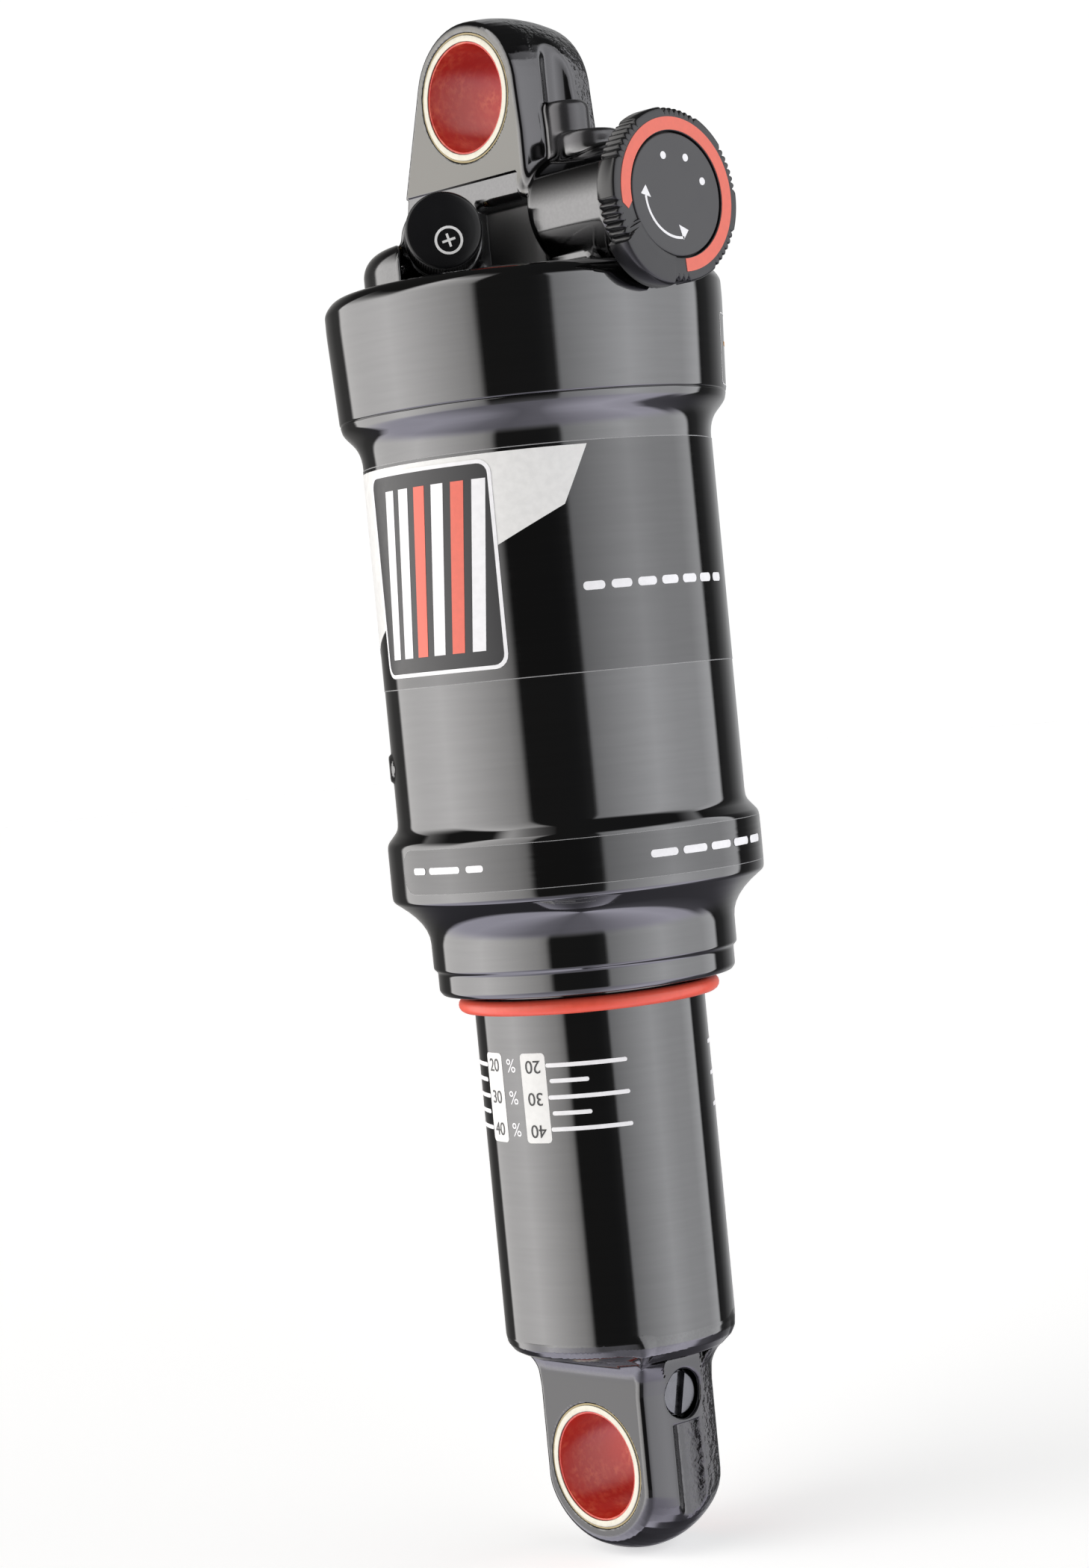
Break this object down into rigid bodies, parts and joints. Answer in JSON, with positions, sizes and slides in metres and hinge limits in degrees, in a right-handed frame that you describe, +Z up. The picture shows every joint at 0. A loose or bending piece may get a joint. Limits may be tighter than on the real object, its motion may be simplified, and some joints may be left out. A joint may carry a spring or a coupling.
{
  "type": "bicycle rear air shock",
  "caption": "Bicycle rear air shock: black damper tube sliding into a stepped air can, an eye with a plain bush at each end, a coral sag ring, a capped air valve and a rebound dial.",
  "frame": {"origin": "middle of the bounding box's footprint, at the lowest point of the lower eye", "axes": "+Z up the damper axis, from the lower eye to the upper eye; -Y out of the eyes' front faces, along the bolt axes; +X to the side the rebound dial is on"},
  "size_m": [0.0518, 0.0478, 0.1857],
  "materials": {
    "damper_body": "gloss black anodised",
    "lower_bushing_shell": "bright machined end faces",
    "lower_bushing_liner": "dark red sliding layer",
    "ifp_fill_screw": "slotted, zinc plated",
    "ifp_fill_pellet": "rubber",
    "air_piston": "bare machined",
    "air_piston_seal": "black seal rubber",
    "air_piston_glide_ring": "bronze filled bearing plastic",
    "shaft_bushing": "bronze filled bearing plastic",
    "shaft_seal": "black seal rubber",
    "seal_head_oring": "black seal rubber",
    "ifp": "bare machined",
    "ifp_oring": "black seal rubber",
    "sag_ring": "coral red rubber",
    "air_can": "gloss black anodised",
    "can_wiper": "black seal rubber",
    "can_glide_ring": "bronze filled bearing plastic",
    "can_seal": "black seal rubber",
    "top_out_bumper": "cast urethane",
    "shaft_eyelet": "gloss black anodised over a forged skin",
    "upper_bushing_shell": "bright machined end faces",
    "upper_bushing_liner": "dark red sliding layer",
    "head_oring": "black seal rubber",
    "damper_shaft": "hard chromed and polished",
    "main_piston": "bare machined",
    "main_piston_ring": "bronze filled bearing plastic",
    "rebound_shim_large": "bright steel",
    "rebound_shim_small": "bright steel",
    "compression_shim_large": "bright steel",
    "compression_shim_small": "bright steel",
    "piston_nut": "bright steel",
    "bottom_out_bumper": "cast urethane",
    "valve_stem": "machined brass",
    "valve_stem_oring": "black seal rubber",
    "valve_core": "machined brass",
    "valve_spring": "bright steel",
    "cam_retaining_ring": "bright steel",
    "detent_spring": "bright steel",
    "rebound_knob": "black, moulded grip",
    "knob_face_disc": "satin dark grey face",
    "knob_screw": "bright steel",
    "rebound_cam_shaft": "bright steel",
    "cam_shaft_oring": "black seal rubber",
    "rebound_needle": "bare machined",
    "needle_oring": "black seal rubber",
    "valve_cap_seal": "black seal rubber",
    "valve_cap": "black, knurled skirt",
    "valve_pin": "machined brass",
    "detent_ball": "bright steel"
  },
  "bodies": {
    "damper_side": {"damper_body": "damper_body", "lower_bushing_shell": "lower_bushing_shell", "lower_bushing_liner": "lower_bushing_liner", "ifp_fill_screw": "ifp_fill_screw", "ifp_fill_pellet": "ifp_fill_pellet", "air_piston": "air_piston", "air_piston_seal": "air_piston_seal", "air_piston_glide_ring": "air_piston_glide_ring", "shaft_bushing": "shaft_bushing", "shaft_seal": "shaft_seal", "seal_head_oring": "seal_head_oring"},
    "gas_piston": {"ifp": "ifp", "ifp_oring": "ifp_oring"},
    "sag_indicator": {"sag_ring": "sag_ring"},
    "can_side": {"air_can": "air_can", "can_wiper": "can_wiper", "can_glide_ring": "can_glide_ring", "can_seal": "can_seal", "top_out_bumper": "top_out_bumper", "shaft_eyelet": "shaft_eyelet", "upper_bushing_shell": "upper_bushing_shell", "upper_bushing_liner": "upper_bushing_liner", "head_oring": "head_oring", "damper_shaft": "damper_shaft", "main_piston": "main_piston", "main_piston_ring": "main_piston_ring", "rebound_shim_large": "rebound_shim_large", "rebound_shim_small": "rebound_shim_small", "compression_shim_large": "compression_shim_large", "compression_shim_small": "compression_shim_small", "piston_nut": "piston_nut", "bottom_out_bumper": "bottom_out_bumper", "valve_stem": "valve_stem", "valve_stem_oring": "valve_stem_oring", "valve_core": "valve_core", "valve_spring": "valve_spring", "cam_retaining_ring": "cam_retaining_ring", "detent_spring": "detent_spring"},
    "rebound_adjuster": {"rebound_knob": "rebound_knob", "knob_face_disc": "knob_face_disc", "knob_screw": "knob_screw", "rebound_cam_shaft": "rebound_cam_shaft", "cam_shaft_oring": "cam_shaft_oring"},
    "metering_needle": {"rebound_needle": "rebound_needle", "needle_oring": "needle_oring"},
    "cap_lift_carrier": {"valve_cap_seal": "valve_cap_seal"},
    "cap_turning": {"valve_cap": "valve_cap"},
    "pin_pressing": {"valve_pin": "valve_pin"},
    "click_ball": {"detent_ball": "detent_ball"}
  },
  "joints": [
    {"name": "compression", "type": "slide", "parent": "damper_side", "child": "can_side", "axis": [0, 0, -1], "range_m": [0, 0.038], "stiffness_N_per_m": 12000, "springref_m": -0.004},
    {"name": "sag_ring_slide", "type": "slide", "parent": "damper_side", "child": "sag_indicator", "axis": [0, 0, -1], "range_m": [0, 0.038]},
    {"name": "gas_piston_slide", "type": "slide", "parent": "damper_side", "child": "gas_piston", "axis": [0, 0, -1], "range_m": [0, 0.0066]},
    {"name": "rebound_knob_turn", "type": "hinge", "parent": "can_side", "child": "rebound_adjuster", "pos_m": [-0.00193, 0, 0.1601], "axis": [1, 0, 0], "range_deg": [-150, 150]},
    {"name": "needle_slide", "type": "slide", "parent": "can_side", "child": "metering_needle", "axis": [0, 0, -1], "range_m": [-0.0007, 0.0007]},
    {"name": "cap_lift", "type": "slide", "parent": "can_side", "child": "cap_lift_carrier", "axis": [0.766, -0.6428, 0], "range_m": [0, 0.0064]},
    {"name": "valve_cap_turn", "type": "hinge", "parent": "cap_lift_carrier", "child": "cap_turning", "pos_m": [0.00198, -0.0151, 0.15955], "axis": [0.766, -0.6428, 0], "range_deg": [0, 2880]},
    {"name": "valve_pin_press", "type": "slide", "parent": "can_side", "child": "pin_pressing", "axis": [-0.766, 0.6428, 0], "range_m": [0, 0.001]},
    {"name": "detent_ball_click", "type": "slide", "parent": "can_side", "child": "click_ball", "axis": [-1, 0, 0], "range_m": [0, 0.00025]}
  ],
  "couplings": [
    {"joint": "sag_ring_slide", "follows": "compression", "ratio": 1},
    {"joint": "gas_piston_slide", "follows": "compression", "ratio": 0.1735},
    {"joint": "needle_slide", "follows": "rebound_knob_turn", "m_per_rad": 0.000267},
    {"joint": "cap_lift", "follows": "valve_cap_turn", "m_per_rad": 0.000127}
  ]
}
